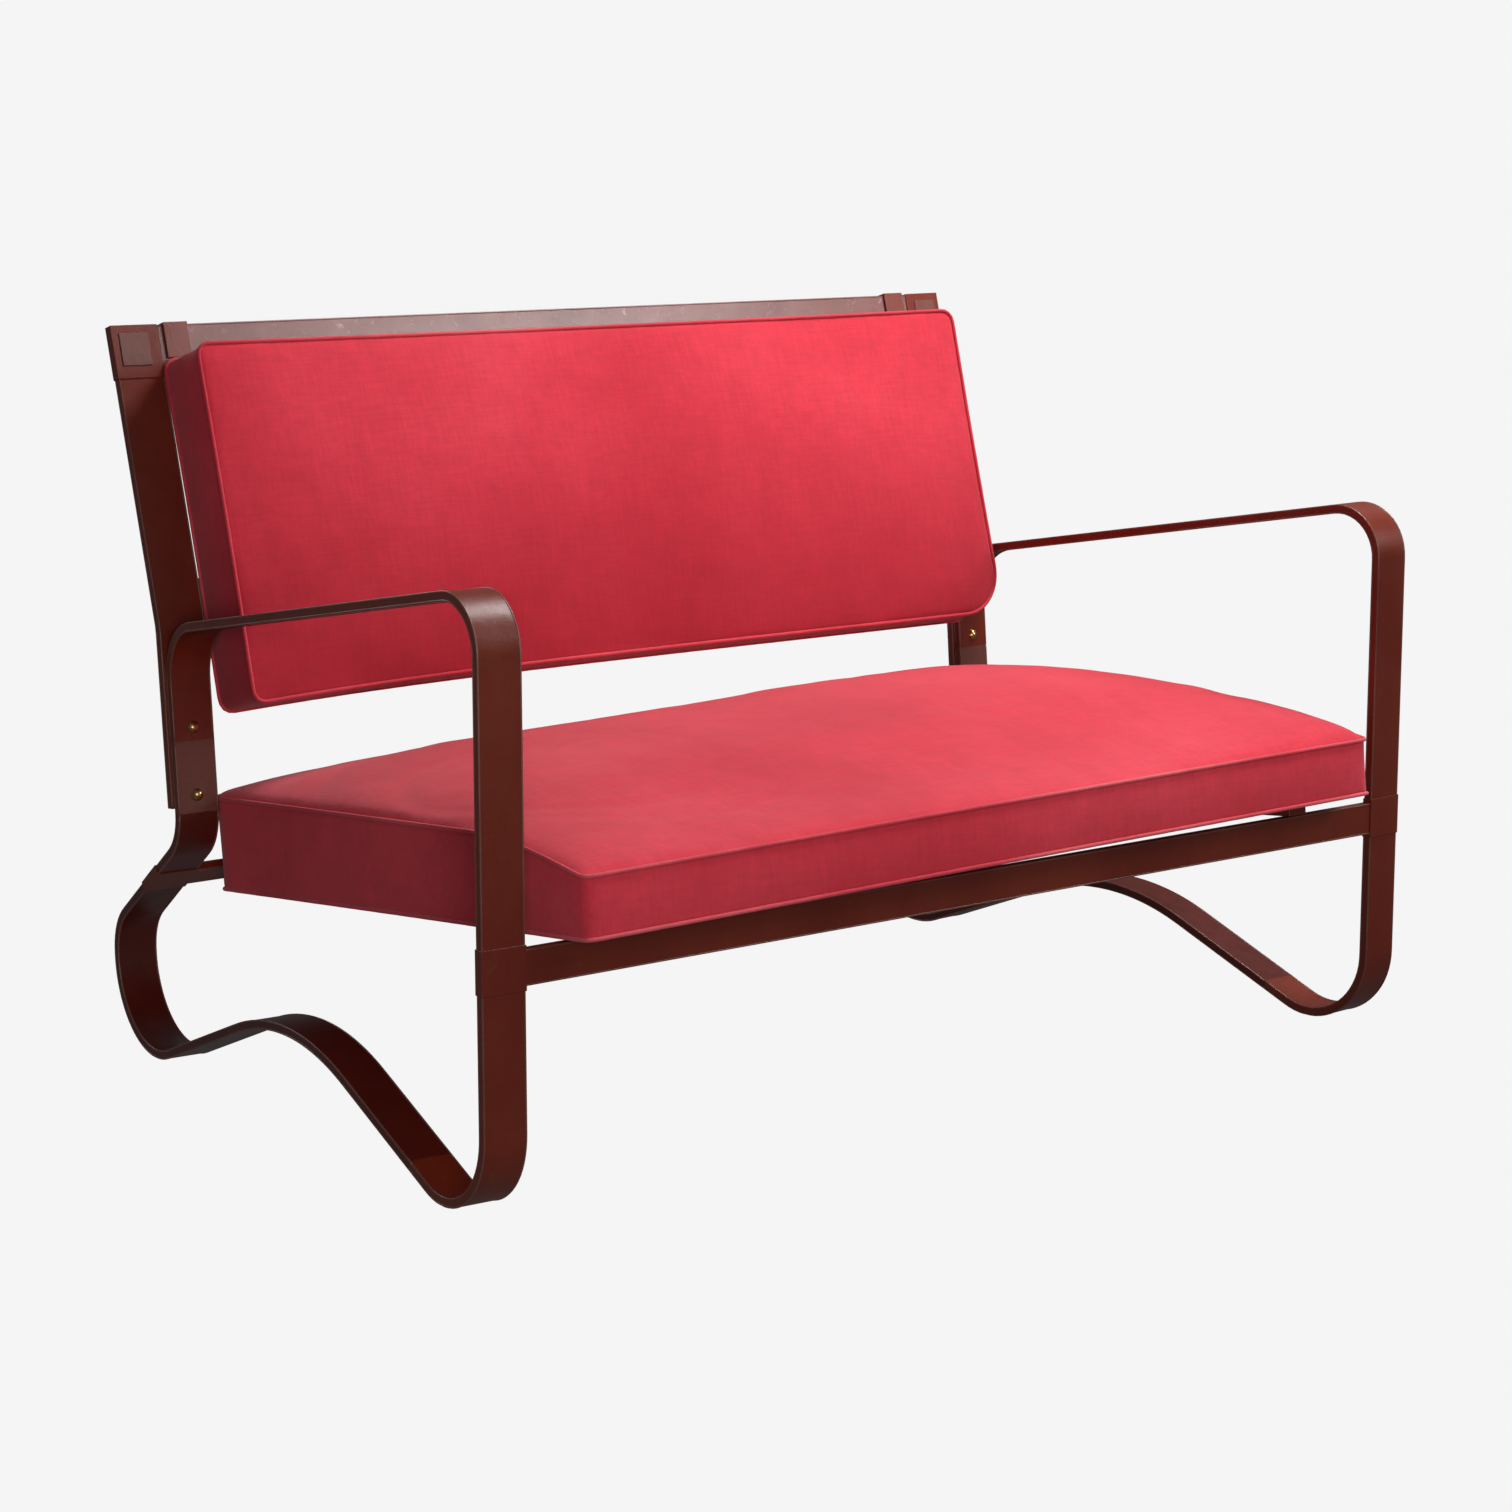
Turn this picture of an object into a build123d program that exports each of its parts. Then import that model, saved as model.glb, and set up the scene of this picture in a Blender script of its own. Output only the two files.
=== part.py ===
from build123d import *
import os
from math import atan2, asin, acos, cos, sin, tan, radians, hypot

# Two-seat settee: two closed side loops of flat steel bar sewn into leather, two rails, a
# reclined back frame bolted to the loops, and a boxed seat cushion and back cushion.
# Millimetres.  X is the width, the front faces -Y, Z is up.
os.makedirs("parts", exist_ok=True)

# ---------------------------------------------------------------- driving dimensions
OVERALL_W = 1264.0        # width over the two front legs
SPLAY = 3.7               # degrees: each side loop toes in towards the rear
BAR_W = 47.0              # width of a covered bar
BAR_T = 9.4               # thickness of a covered bar
HIDE = 1.7                # leather thickness on each face of a bar
FIT = 0.05                # air between a steel core and its leather
SEAM_AIR = 0.02           # air between a back upright and the loop that it is bolted to

# side loop, measured back from the face of the front leg and up from the floor
ARM_Z = 616.0             # where the arm line meets the leg line at the front
ARM_REAR = (689.0, 497.0)  # where the arm line meets the rear upright
KNEE = (670.0, 264.0)     # where the rear upright meets the rear sweep
SWEEP_RISE = 36.0         # corner of the rear sweep above the middle of the rear foot
REAR_Y = 848.0            # rearmost line of the loop
HUMP = (412.0, 122.0)     # corner under the hump of the runner
R_ARM_FRONT, R_ARM_REAR, R_KNEE, R_SWEEP = 58.0, 66.0, 50.0, 64.0
R_REAR_FOOT, R_HUMP, R_FRONT_FOOT = 102.0, 330.0, 86.0
SWEEP_Z = R_REAR_FOOT + SWEEP_RISE

# rails between the loops
RAIL_H = 35.0             # height of a covered rail
FRONT_RAIL_Z = 231.0      # underside of the front rail
REAR_RAIL_RUN = 93.0      # from the knee, along the sweep, to the middle of the rear rail
BEARER_W, BEARER_T = 27.0, 11.0
BEARER_IN = 167.0         # middle of each seat bearer, in from the outside of a front leg
BEARER_OVER = 16.0        # how far a bearer runs past the edge it rests on
COLLAR_T = 1.3            # leather collar round each rail joint
COLLAR_OVER = 5.0         # collar height above and below the rail

# back frame
BACK_LEAN = 15.8          # degrees from vertical
BACK_BAR_W = 54.0         # width of a covered back upright
BACK_TOP_Z = 816.0        # highest point of the top rail
BACK_BEND_Z = 493.0       # height where the back upright leaves the loop
BACK_LOW_Z = 297.0        # lower end of the back upright
R_BACK_BEND = 60.0
TOP_RAIL_H = 45.0
LOW_RAIL_U = 283.0        # top edge of the lower back rail, below the top of the frame
CAP_H = 58.0              # leather cap over each top corner
CAP_T = 1.3
PANEL_W, PANEL_H, PANEL_T = 34.0, 36.0, 1.2
PANEL_U, PANEL_IN = 8.0, 3.0   # panel below the top, and outwards from the bar's middle
BOLT_Z = (385.0, 311.0)   # heights of the two bolts at each side
BOLT_R, HEAD_R, HEAD_H = 3.0, 7.0, 5.0
BOLT_FIT = 0.2            # air round a bolt in its hole
WASHER_R, WASHER_T = 7.0, 1.2
NUT_AF, NUT_T = 10.0, 5.0
PATCH_Z = (292.0, 371.0)  # leather patch on each rear upright
FOOT_SEAM_Y = 150.0       # seam across the runner behind the front foot

# cushions
SEAT_GAP = 4.5            # seat cushion to the loops at its rear corners
SEAT_D = 716.0            # seat cushion, front to back
SEAT_OVERHANG = 42.0      # seat cushion in front of the legs
SEAT_H_FRONT, SEAT_H_MID, SEAT_H_REAR = 68.0, 100.0, 114.0
SEAT_ROLL = 170.0         # length over which the front of the seat rolls down
BACK_CUSHION_T = 80.0
BACK_CUSHION_H = 384.0
BACK_CUSHION_DROP = 40.0  # top of the back cushion below the top of the frame
BACK_GAP = 0.6            # piping of the back cushion to the loops, at their closest
CORNER_R = 22.0           # rounding of the cushion corners
COVER_T = 1.6
BOARD_T = 9.0
PIPE_W, PIPE_H = 2.6, 4.6
SOFT_AIR = 0.4            # air between a cushion and the frame
BACK_AIR = SOFT_AIR + CAP_T    # the back cushion rests against the corner caps
STRAP_W, STRAP_T = 30.0, 2.5
STRAP_IN = 116.0          # middle of each strap, in from the outside of a front leg
STRAP_TAIL = 62.0

# ---------------------------------------------------------------- plane geometry helpers
PSI = radians(SPLAY)
HALF = BAR_W / 2
CENTRE_X = -(OVERALL_W / 2 - HALF * cos(PSI))
BEARER_X = OVERALL_W / 2 - BEARER_IN
STRAP_X = OVERALL_W / 2 - STRAP_IN


def tangent_drop(point, centre, r, y):
    """Height at y of the line from point that passes just under the circle."""
    d = hypot(centre[0] - point[0], centre[1] - point[1])
    base = atan2(centre[1] - point[1], centre[0] - point[0])
    low = []
    for turn in (-1, 1):
        a = base + turn * asin(r / d)
        low.append(point[1] + (y - point[0]) * tan(a))
    return min(low)


def loop_corners():
    front = tangent_drop(HUMP, (R_FRONT_FOOT, R_FRONT_FOOT), R_FRONT_FOOT, 0.0)
    rear = tangent_drop(HUMP, (REAR_Y - R_REAR_FOOT, R_REAR_FOOT), R_REAR_FOOT, REAR_Y)
    turn = atan2(REAR_Y - KNEE[0], KNEE[1] - SWEEP_Z)
    sweep = min(R_SWEEP, (SWEEP_RISE - 2.0) / tan(turn / 2))
    return [(0.0, front, R_FRONT_FOOT), (HUMP[0], HUMP[1], R_HUMP), (REAR_Y, rear, R_REAR_FOOT),
            (REAR_Y, SWEEP_Z, sweep), (KNEE[0], KNEE[1], R_KNEE),
            (ARM_REAR[0], ARM_REAR[1], R_ARM_REAR), (0.0, ARM_Z, R_ARM_FRONT)]


def unit(a, b):
    d = hypot(b[0] - a[0], b[1] - a[1])
    return ((b[0] - a[0]) / d, (b[1] - a[1]) / d)


def inset(corners, d):
    """The rounded loop moved inwards by d; corners run anticlockwise seen from -X."""
    out = []
    for i, (y, z, r) in enumerate(corners):
        u = unit(corners[i - 1], (y, z))
        w = unit((y, z), corners[(i + 1) % len(corners)])
        cross = u[0] * w[1] - u[1] * w[0]
        k = d * tan(acos(max(-1.0, min(1.0, u[0] * w[0] + u[1] * w[1]))) / 2)
        k = k if cross > 0 else -k
        out.append((y - u[1] * d - u[0] * k, z + u[0] * d - u[1] * k, r - d if cross > 0 else r + d))
    return out


def rounded(corners, closed=True):
    """Edges of a polyline in the YZ plane with a true arc at each corner."""
    n = len(corners)
    ends = []
    for i, (y, z, r) in enumerate(corners):
        if not closed and i in (0, n - 1):
            ends.append(((y, z), None, (y, z)))
            continue
        u = unit((y, z), corners[i - 1])
        w = unit((y, z), corners[(i + 1) % n])
        half = acos(max(-1.0, min(1.0, u[0] * w[0] + u[1] * w[1]))) / 2
        t = r / tan(half)
        b = unit((0, 0), (u[0] + w[0], u[1] + w[1]))
        m = r / sin(half) - r
        ends.append(((y + u[0] * t, z + u[1] * t), (y + b[0] * m, z + b[1] * m),
                     (y + w[0] * t, z + w[1] * t)))
    edges = []
    for i, (s, m, e) in enumerate(ends):
        if m:
            edges.append(ThreePointArc((0, *s), (0, *m), (0, *e)).edge())
        if closed or i < n - 1:
            edges.append(Line((0, *e), (0, *ends[(i + 1) % n][0])).edge())
    return edges


def prism(outer, x0, x1, inner=None, skew=0.0):
    """Extrude a closed YZ outline from x0 to x1, leaning the width by skew radians."""
    face = Face(Wire(outer), [Wire(inner)] if inner else [])
    face = face.moved(Location((x0, -x0 * tan(skew), 0)))
    side = Vector(x1 - x0, -(x1 - x0) * tan(skew), 0)
    return Solid.extrude(face, side)


def block(x0, x1, y0, y1, z0, z1):
    return Pos((x0 + x1) / 2, (y0 + y1) / 2, (z0 + z1) / 2) * Box(x1 - x0, y1 - y0, z1 - z0)


def quad(points, x0, x1, skew=0.0):
    n = len(points)
    edges = [Line((0, *points[i]), (0, *points[(i + 1) % n])).edge() for i in range(n)]
    return prism(edges, x0, x1, skew=skew)


LOOP = loop_corners()
LEFT = Pos(CENTRE_X, 0, 0) * Rot(0, 0, -SPLAY)      # loop frame to settee frame
FAR = 5000.0


def ring(d0, d1, half):
    return prism(rounded(inset(LOOP, d0)), -half, half, rounded(inset(LOOP, d1)))


def both(solid):
    return solid, mirror(solid, about=Plane.YZ)


def one(shape):
    """The single solid of a boolean result."""
    s = shape.solids()
    return max(s, key=lambda k: k.volume)


def beside_loops(edge):
    """Everything outside the two planes that lie edge inside the middle of each bar."""
    cut = LEFT * block(-FAR, edge, -FAR, FAR, -FAR, FAR)
    return cut, mirror(cut, about=Plane.YZ)


# ---------------------------------------------------------------- back frame geometry
LEAN = radians(BACK_LEAN)
BACK_HALF = BACK_BAR_W / 2
UP = (sin(LEAN), cos(LEAN))               # along the reclined back, in (y, z)
knee_dir = unit(KNEE, ARM_REAR)           # along the rear upright
SEAT_SIDE = (-knee_dir[1], knee_dir[0])   # out of the rear upright, towards the seat


def upright_y(z):
    """Rear face of the loop's rear upright at height z, at the back upright's middle."""
    mid, lean = sum(BOLT_Z) / 2, knee_dir[0] / knee_dir[1]
    return (KNEE[0] + (mid - KNEE[1]) * lean) * cos(PSI) + (z - mid) * lean / cos(PSI) + SEAM_AIR


BACK_MID_X = CENTRE_X + upright_y(sum(BOLT_Z) / 2) * tan(PSI)
# front face of the back upright at its middle: lower end, bend and upper end
LOW = (upright_y(BACK_LOW_Z), BACK_LOW_Z)
BEND = (upright_y(BACK_BEND_Z), BACK_BEND_Z)
CREST = (BEND[0] + (BACK_TOP_Z - BACK_BEND_Z) * tan(LEAN), BACK_TOP_Z)
# top of the reclined plane of the rails, flush with the inner edges of the two uprights
TOP = (CREST[0] - BACK_HALF * tan(PSI), BACK_TOP_Z)


def strip(d0, d1, end):
    """Side view of the back upright between depths d0 and d1, its ends short by end."""
    def side(d):
        rows = [LOW, BEND, CREST]
        a, b = unit(rows[0], rows[1]), unit(rows[1], rows[2])
        k = d * tan(acos(a[0] * b[0] + a[1] * b[1]) / 2)
        lo = (rows[0][0] + a[1] * d + a[0] * end, rows[0][1] - a[0] * d + a[1] * end)
        mid = (rows[1][0] + a[1] * d + a[0] * k, rows[1][1] - a[0] * d + a[1] * k)
        hi = (rows[2][0] + b[1] * d - b[0] * end, rows[2][1] - b[0] * d - b[1] * end)
        return [(*lo, 0), (*mid, R_BACK_BEND - d), (*hi, 0)]
    f, r = side(d0), side(d1)
    edges = rounded(f, closed=False)
    back = rounded(r, closed=False)
    ends = [Line((0, f[0][0], f[0][1]), (0, r[0][0], r[0][1])).edge(),
            Line((0, f[2][0], f[2][1]), (0, r[2][0], r[2][1])).edge()]
    return Wire(edges + back + ends).edges()


def back_bar(d0, d1, end, half):
    return Pos(BACK_MID_X, 0, 0) * prism(list(strip(d0, d1, end)), -half, half, skew=PSI)


def back_plane(u, f, top=TOP):
    """(y, z) of a point u below the top and f in front of the reclined front face."""
    return (top[0] - UP[0] * u - UP[1] * f, top[1] - UP[1] * u + UP[0] * f)


def back_box(u0, u1, f0, f1, x0, x1, top=TOP, skew=0.0):
    corners = [back_plane(u, f, top) for u, f in ((u0, f0), (u1, f0), (u1, f1), (u0, f1))]
    return quad(corners, x0, x1, skew)


def upright_box(u0, u1, f0, f1, x0, x1):
    """A box on the reclined part of the left back upright; x0 and x1 run from its middle."""
    return Pos(BACK_MID_X, 0, 0) * back_box(u0, u1, f0, f1, x0, x1, CREST, PSI)


# ---------------------------------------------------------------- seat geometry
SWEEP = unit(KNEE, (REAR_Y, SWEEP_Z))                  # down the rear sweep
FRONT_FACE = -HALF * sin(PSI)                          # rail face, flush with the inner edges of the legs
rail_mid = (KNEE[0] + SWEEP[0] * REAR_RAIL_RUN, KNEE[1] + SWEEP[1] * REAR_RAIL_RUN)
REAR_SHIFT = rail_mid[0] * (cos(PSI) - 1) - HALF * sin(PSI)


def rear_rail(grow_u, n0, n1, x0, x1):
    """A bar lying in the plane of the rear sweep; n is measured in from its outer face."""
    nrm = (SWEEP[1], -SWEEP[0])
    pts = []
    for u, n in ((-1, n0), (1, n0), (1, n1), (-1, n1)):
        k = u * (RAIL_H / 2 + grow_u)
        pts.append((rail_mid[0] + REAR_SHIFT + SWEEP[0] * k + nrm[0] * n,
                    rail_mid[1] + SWEEP[1] * k + nrm[1] * n))
    return quad(pts, x0, x1)


def rear_rail_low_edge():
    """The lowest edge of the rear rail: a bearer hangs from it."""
    nrm = (SWEEP[1], -SWEEP[0])
    k = RAIL_H / 2
    return (rail_mid[0] + REAR_SHIFT + SWEEP[0] * k + nrm[0] * BAR_T,
            rail_mid[1] + SWEEP[1] * k + nrm[1] * BAR_T)


def bearer_slope():
    """Direction of a bearer whose underside rests on REST_F and whose top touches REST_R."""
    y, z = REST_R[0] - REST_F[0], REST_R[1] - REST_F[1]
    turn = atan2(z, y) - asin((BEARER_T + FIT) / hypot(y, z))
    return (cos(turn), sin(turn))


REST_F = (FRONT_FACE + BAR_T, FRONT_RAIL_Z + RAIL_H)   # where a bearer rests at the front
REST_R = rear_rail_low_edge()
SLOPE = bearer_slope()
SEAT_UP = (-SLOPE[1], SLOPE[0])
SEAT_HALF_W = -(CENTRE_X + (SEAT_D - SEAT_OVERHANG) * tan(PSI) + HALF / cos(PSI)) - SEAT_GAP


def seat_point(v, w):
    """(y, z) at v behind the cushion's front edge and w above the bearers."""
    v0 = -SEAT_OVERHANG
    y = v0 + v * SLOPE[0]
    base = REST_F[1] + (v0 - REST_F[0]) * SLOPE[1] / SLOPE[0] + v * SLOPE[1]
    w = w + BEARER_T + SOFT_AIR
    return (y + SEAT_UP[0] * w, base + SEAT_UP[1] * w)


def seat_outline(t, low=0.0, high=None):
    """Side view of the seat cushion inset by t, cut off below low and above high."""
    length = SEAT_D
    rise = (SEAT_H_REAR - SEAT_H_MID) / (length - SEAT_ROLL)
    a = (SEAT_ROLL, SEAT_H_MID - t)
    b = (length - t, SEAT_H_REAR - rise * t - t)
    c = (t, SEAT_H_FRONT - t)
    drop = a[1] - c[1] - rise * (a[0] - c[0]) * 0.5
    mid = ((a[0] + c[0]) / 2, c[1] + (a[1] - c[1]) / 2 + drop * 0.29)
    pts = [(t, t + low), (length - t, t + low), b, a]
    p = [(0, *seat_point(*q)) for q in pts]
    m, e = (0, *seat_point(*mid)), (0, *seat_point(*c))
    return [Line(p[0], p[1]).edge(), Line(p[1], p[2]).edge(), Line(p[2], p[3]).edge(),
            ThreePointArc(p[3], m, e).edge(), Line(e, p[0]).edge()]


def round_corners(solid, direction, r):
    """Round the four edges of a cushion that run along direction."""
    d = Vector(0, *direction)
    es = [e for e in solid.edges() if e.geom_type == GeomType.LINE
          and abs(abs((e % 0.5).dot(d)) - 1) < 0.02]
    return solid.fillet(r, es)


def seat_body(t, low=0.0):
    w = SEAT_HALF_W - t
    return round_corners(prism(seat_outline(t, low), -w, w), SEAT_UP, CORNER_R - t)


def back_body(t):
    w = BACK_HALF_W - t
    u0, u1 = BACK_CUSHION_DROP + t, BACK_CUSHION_DROP + BACK_CUSHION_H - t
    s = back_box(u0, u1, BACK_AIR + t, BACK_AIR + BACK_CUSHION_T - t, -w, w)
    es = [e for e in s.edges() if abs(abs((e % 0.5).dot(Vector(0, UP[1], -UP[0]))) - 1) < 0.01]
    return s.fillet(CORNER_R - t, es)


BACK_HALF_W = -(CENTRE_X + (ARM_REAR[0] * tan(PSI)) + HALF / cos(PSI)) - BACK_GAP - PIPE_W

# ---------------------------------------------------------------- builders
parts = {}


def bolt_axis(z):
    """Plane on the seat side of the rear upright at height z, facing the seat."""
    y = KNEE[0] + (z - KNEE[1]) * knee_dir[0] / knee_dir[1]
    p = (y + SEAT_SIDE[0] * BAR_T, z + SEAT_SIDE[1] * BAR_T)
    return Plane(origin=(0, *p), x_dir=(1, 0, 0), z_dir=(0, *SEAT_SIDE))


def hole(z):
    return LEFT * (bolt_axis(z) * Cylinder(BOLT_R + BOLT_FIT, 8 * BAR_T))


def make_rails():
    """Front and rear rail, each a steel core in a leather sleeve."""
    w = OVERALL_W
    g = HIDE
    zf, yf = FRONT_RAIL_Z, FRONT_FACE
    sleeve_f = block(-w, w, yf, yf + BAR_T, zf, zf + RAIL_H)
    core_f = block(-w, w, yf + g, yf + BAR_T - g, zf + g, zf + RAIL_H - g)
    room_f = block(-w, w, yf + g - FIT, yf + BAR_T - g + FIT, zf + g - FIT, zf + RAIL_H - g + FIT)
    sleeve_r = rear_rail(0, 0, BAR_T, -w, w)
    core_r = rear_rail(-g, g, BAR_T - g, -w, w)
    room_r = rear_rail(-g + FIT, g - FIT, BAR_T - g + FIT, -w, w)
    out_a, out_b = beside_loops(HALF)
    in_a, in_b = beside_loops(HALF - HIDE)
    rooms = []
    for name, sleeve, core, room in (("front", sleeve_f, core_f, room_f), ("rear", sleeve_r, core_r, room_r)):
        rooms.append(room - in_a - in_b)
        parts[name + "_rail_core"] = one(core - in_a - in_b)
        parts[name + "_rail_leather"] = one(sleeve - rooms[-1] - out_a - out_b)
    return rooms


def make_loops(rail_rooms):
    core = ring(HIDE, BAR_T - HIDE, HALF - HIDE)
    room = ring(HIDE - FIT, BAR_T - HIDE + FIT, HALF - HIDE + FIT)
    hide = ring(0, BAR_T, HALF) - room
    core, hide = LEFT * core, LEFT * hide
    for z in BOLT_Z:
        core, hide = core - hole(z), hide - hole(z)
    for r in rail_rooms:
        hide = hide - r
    joint_z = FRONT_RAIL_Z + RAIL_H / 2
    low, high = PATCH_Z
    x = (-BAR_W, BAR_W)
    back = (KNEE[0] + HUMP[0]) / 2
    # half plane below the rear rail, square to the sweep
    far = [(rail_mid[0] + SWEEP[0] * a - SWEEP[1] * b, rail_mid[1] + SWEEP[1] * a + SWEEP[0] * b)
           for a, b in ((0, -FAR), (FAR, -FAR), (FAR, FAR), (0, FAR))]
    below = quad(far, *x)
    rear = block(*x, back, FAR, -FAR, low)
    zones = {
        "front_foot_leather": block(*x, -FAR, FOOT_SEAM_Y, -FAR, joint_z),
        "armrest_leather": block(*x, -FAR, back, joint_z, FAR) + block(*x, back, FAR, high, FAR),
        "rear_patch_leather": block(*x, back, FAR, low, high),
        "rear_leg_leather": rear - below - block(*x, -FAR, FAR, -FAR, SWEEP_Z),
    }
    zones["runner_leather"] = (block(*x, FOOT_SEAM_Y, FAR, -FAR, SWEEP_Z)
                               + (below & block(*x, back, FAR, SWEEP_Z, low)))
    parts_side(core, "loop_core")
    for name, zone in zones.items():
        parts_side(one(hide & (LEFT * zone)), name)


def parts_side(solid, name):
    left, right = both(one(solid))
    parts["left_" + name] = left
    parts["right_" + name] = right


def make_collars():
    """Leather collars over the joints of the rails and the loops."""
    c = COLLAR_T
    z0, z1 = FRONT_RAIL_Z - COLLAR_OVER, FRONT_RAIL_Z + RAIL_H + COLLAR_OVER
    front = LEFT * (block(-HALF - c, HALF + c, -c, BAR_T + c, z0, z1) - block(-HALF, HALF, 0, BAR_T, -1, FAR))
    w, outside = OVERALL_W, beside_loops(HALF)[0]
    rail = block(-w, w, FRONT_FACE, FRONT_FACE + BAR_T, FRONT_RAIL_Z, FRONT_RAIL_Z + RAIL_H)
    parts_side(front - (rail - outside), "front_collar")
    nrm = (SWEEP[1], -SWEEP[0])

    def sweep_box(k, n0, n1, half):
        pts = [(rail_mid[0] + SWEEP[0] * u * k + nrm[0] * n, rail_mid[1] + SWEEP[1] * u * k + nrm[1] * n)
               for u, n in ((-1, n0), (1, n0), (1, n1), (-1, n1))]
        return quad(pts, -half, half)
    k = RAIL_H / 2 + COLLAR_OVER
    rear = LEFT * (sweep_box(k, -c, BAR_T + c, HALF + c) - sweep_box(k + 1, 0, BAR_T, HALF))
    parts_side(rear - (rear_rail(0, 0, BAR_T, -w, w) - outside), "rear_collar")


def make_bearers():
    rows = [(REST_F[0] - BAR_T, 0), (REST_R[0] + BEARER_OVER, 0), (REST_R[0] + BEARER_OVER, BEARER_T),
            (REST_F[0] - BAR_T, BEARER_T)]
    pts = []
    for y, w in rows:
        z = REST_F[1] + (y - REST_F[0]) * SLOPE[1] / SLOPE[0]
        pts.append((y + SEAT_UP[0] * w, z + SEAT_UP[1] * w))
    bar = quad(pts, -BEARER_X - BEARER_W / 2, -BEARER_X + BEARER_W / 2)
    parts_side(bar, "seat_bearer")


def make_back_frame():
    w, g, t = BACK_MID_X + BACK_HALF, HIDE, BAR_T     # w: inner edge of the left back upright
    core = back_bar(g, t - g, g, BACK_HALF - g)
    hide = back_bar(0, t, 0, BACK_HALF) - back_bar(g - FIT, t - g + FIT, g - FIT, BACK_HALF - g + FIT)
    posts = both(core)
    for name, u in (("top_rail", 0.0), ("lower_back_rail", LOW_RAIL_U)):
        low, k = u + TOP_RAIL_H, g - FIT
        room = back_box(u + k, low - k, -k, k - t, w - g, -w + g)
        parts[name + "_core"] = one(back_box(u + g, low - g, -g, g - t, w - g, -w + g) - posts[0] - posts[1])
        parts[name + "_leather"] = one(back_box(u, low, 0, -t, w, -w) - room)
        hide = hide - room
    for z in BOLT_Z:
        core, hide = core - hole(z), hide - hole(z)
    parts_side(core, "back_upright_core")
    parts_side(hide, "back_upright_leather")
    # caps that wrap the top corners, and the panel sewn on each
    c = CAP_T
    over = upright_box(-c, CAP_H, c, -t - c, -BACK_HALF - c, BACK_HALF)
    parts_side(over - upright_box(0, CAP_H + c, 0, -t, -BACK_HALF, FAR), "corner_cap")
    x0 = -PANEL_W / 2 - PANEL_IN
    parts_side(upright_box(PANEL_U, PANEL_U + PANEL_H, c, c + PANEL_T, x0, x0 + PANEL_W), "corner_panel")


def make_bolts():
    heads, washers, nuts = [], [], []
    depth = 2 * BAR_T + SEAM_AIR
    for z in BOLT_Z:
        pl = bolt_axis(z)
        sphere_r = (HEAD_R ** 2 + HEAD_H ** 2) / (2 * HEAD_H)
        dome = Pos(0, 0, HEAD_H - sphere_r) * Sphere(sphere_r)
        dome = dome & Pos(0, 0, HEAD_H) * Box(3 * HEAD_R, 3 * HEAD_R, 2 * HEAD_H)
        reach = depth + WASHER_T + NUT_T + 2.5
        bolt = dome + Pos(0, 0, -reach / 2) * Cylinder(BOLT_R, reach)
        washer = Pos(0, 0, -depth - WASHER_T / 2) * (Cylinder(WASHER_R, WASHER_T) - Cylinder(BOLT_R + FIT, 9))
        hexagon = extrude(RegularPolygon(NUT_AF / 2, 6, major_radius=False), NUT_T)
        nut = Pos(0, 0, -depth - WASHER_T - NUT_T) * (hexagon - Cylinder(BOLT_R + FIT, 30))
        for rows, shape in ((heads, bolt), (washers, washer), (nuts, nut)):
            rows.extend(both(one(LEFT * (pl * shape))))
    parts["back_bolts"] = Compound(heads)
    parts["bolt_washers"] = Compound(washers)
    parts["bolt_nuts"] = Compound(nuts)


def make_seat_cushion():
    outer, inner = seat_body(0), seat_body(COVER_T)
    parts["seat_cushion_cover"] = one(outer - inner)
    low = [(0, *seat_point(v, w)) for v, w in ((-9, -9), (SEAT_D + 9, -9), (SEAT_D + 9, COVER_T + BOARD_T),
                                               (-9, COVER_T + BOARD_T))]
    slab = prism([Line(low[i], low[(i + 1) % 4]).edge() for i in range(4)], -FAR, FAR)
    parts["seat_cushion_board"] = one(inner & slab)
    parts["seat_cushion_filling"] = one(inner - slab)
    # piping: a cord round the top edge and one round the bottom edge
    p = PIPE_W
    wide = prism(seat_grown(p), -SEAT_HALF_W - p, SEAT_HALF_W + p)
    wide = round_corners(wide, SEAT_UP, CORNER_R + p)
    bottom = quad([seat_point(*q) for q in ((-9, 0), (SEAT_D + 9, 0), (SEAT_D + 9, PIPE_H), (-9, PIPE_H))],
                  -FAR, FAR)
    shell = wide - outer
    parts["seat_piping_bottom"] = one(shell & bottom)
    core = prism(seat_grown(p, PIPE_H), -FAR, FAR)
    parts["seat_piping_top"] = one((wide - core) - outer)


def seat_grown(p, lower=0.0):
    """Seat outline grown by p at the front and rear, its top lowered by lower."""
    rise = (SEAT_H_REAR - SEAT_H_MID) / (SEAT_D - SEAT_ROLL)
    a = (SEAT_ROLL, SEAT_H_MID - lower)
    b = (SEAT_D + p, SEAT_H_REAR + rise * p - lower)
    c0 = (0, SEAT_H_FRONT - lower)
    drop = (SEAT_H_MID - SEAT_H_FRONT) - rise * SEAT_ROLL * 0.5
    mid = (SEAT_ROLL / 2, (SEAT_H_FRONT + SEAT_H_MID) / 2 + drop * 0.29 - lower)
    q = [seat_point(*k) for k in ((-p, 0.0), (SEAT_D + p, 0.0), b, a)]
    end = (-p, c0[1] - 0.5 * p)
    pts = [(0, *k) for k in q]
    m, e = (0, *seat_point(*mid)), (0, *seat_point(*c0))
    out = (0, *seat_point(*end))
    return [Line(pts[0], pts[1]).edge(), Line(pts[1], pts[2]).edge(), Line(pts[2], pts[3]).edge(),
            ThreePointArc(pts[3], m, e).edge(), Line(e, out).edge(), Line(out, pts[0]).edge()]


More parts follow.
